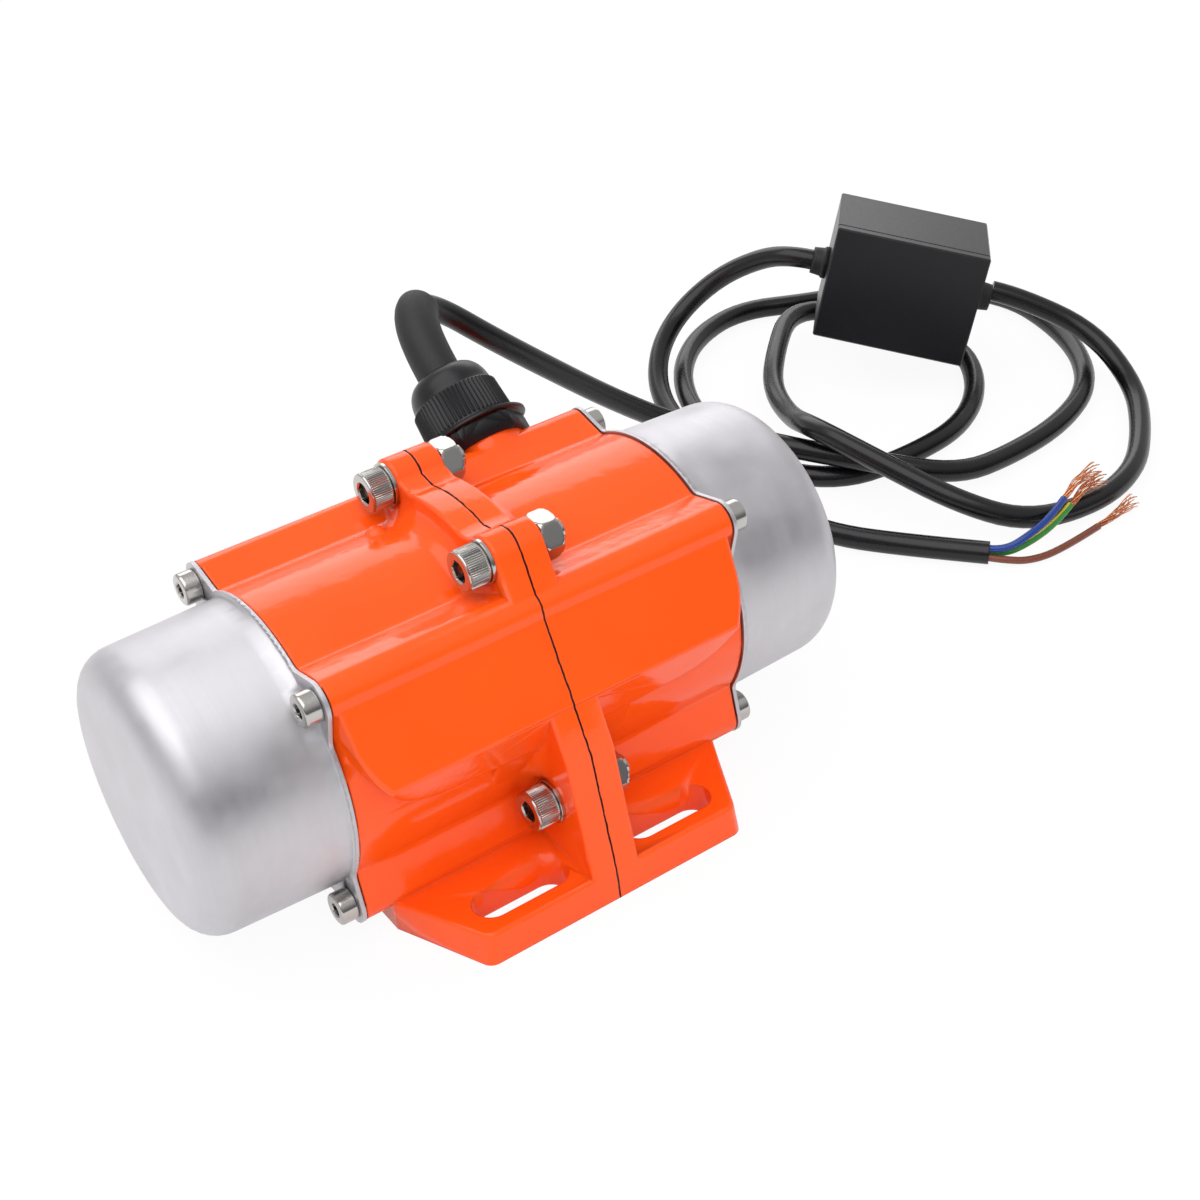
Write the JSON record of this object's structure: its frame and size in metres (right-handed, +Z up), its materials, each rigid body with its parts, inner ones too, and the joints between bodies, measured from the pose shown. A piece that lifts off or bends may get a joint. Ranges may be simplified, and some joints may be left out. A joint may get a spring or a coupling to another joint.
{
  "type": "rotary vibration motor",
  "caption": "Small foot-mounted vibration motor with an orange cast housing, steel end caps over eccentric weights, and a coiled lead with a capacitor box.",
  "frame": {"origin": "middle of the four foot slots on the base plane, below the middle of the shaft", "axes": "+X along the shaft toward the end whose housing half carries the cable gland, +Y toward the side the gland leans to, +Z up from the base"},
  "size_m": [0.4022, 0.2276, 0.1036],
  "materials": {
    "orange_enamel": "gloss",
    "stainless": "satin",
    "zinc_steel": "polished",
    "gasket_rubber": "matt",
    "silicon_steel": "matt",
    "copper": "bright",
    "bearing_steel": "polished",
    "turned_steel": "machined",
    "cast_aluminium": "as cast",
    "cast_iron": "as cast",
    "black_nylon": "satin",
    "black_rubber": "matt",
    "black_pvc": "satin",
    "blue_pvc": "satin",
    "green_yellow_pvc": "satin",
    "brown_pvc": "satin",
    "white_plastic": "satin"
  },
  "bodies": {
    "housing": {"housing_half_left": "orange_enamel", "housing_half_right": "orange_enamel", "flange_bolts": "zinc_steel", "flange_washers": "zinc_steel", "flange_nuts": "zinc_steel", "end_cap_left": "stainless", "end_cap_right": "stainless", "cap_gasket_left": "gasket_rubber", "cap_gasket_right": "gasket_rubber", "cap_screws_left": "zinc_steel", "cap_screws_right": "zinc_steel", "stator_core": "silicon_steel", "stator_windings": "copper", "bearing_outer_left": "bearing_steel", "bearing_outer_right": "bearing_steel", "bearing_balls_left": "bearing_steel", "bearing_balls_right": "bearing_steel", "gland_body": "black_nylon", "gland_nut": "black_nylon", "gland_seal": "black_rubber", "lead_sleeve": "black_rubber", "motor_lead": "black_pvc", "supply_lead": "black_pvc", "core_blue": "blue_pvc", "core_green_yellow": "green_yellow_pvc", "core_brown": "brown_pvc", "copper_ends": "copper", "capacitor_box": "black_nylon", "capacitor_box_lid": "black_nylon", "grommet_left": "black_rubber", "grommet_right": "black_rubber", "run_capacitor": "white_plastic"},
    "rotor": {"rotor_core": "silicon_steel", "rotor_end_rings": "cast_aluminium", "rotor_shaft": "turned_steel", "bearing_inner_left": "bearing_steel", "bearing_inner_right": "bearing_steel", "fixed_weight_left": "cast_iron", "fixed_weight_right": "cast_iron", "weight_key_left": "turned_steel", "weight_key_right": "turned_steel", "shaft_ring_left": "turned_steel", "shaft_ring_right": "turned_steel"},
    "left_weight": {"adjustable_weight_left": "cast_iron", "weight_set_screw_left": "turned_steel"},
    "right_weight": {"adjustable_weight_right": "cast_iron", "weight_set_screw_right": "turned_steel"}
  },
  "joints": [
    {"name": "shaft_spin", "type": "hinge", "parent": "housing", "child": "rotor", "pos_m": [0, 0, 0.0424], "axis": [1, 0, 0], "continuous": true},
    {"name": "left_weight_setting", "type": "hinge", "parent": "rotor", "child": "left_weight", "pos_m": [-0.08, 0, 0.0424], "axis": [-1, 0, 0], "range_deg": [0, 180]},
    {"name": "right_weight_setting", "type": "hinge", "parent": "rotor", "child": "right_weight", "pos_m": [0.08, 0, 0.0424], "axis": [1, 0, 0], "range_deg": [0, 180]}
  ]
}
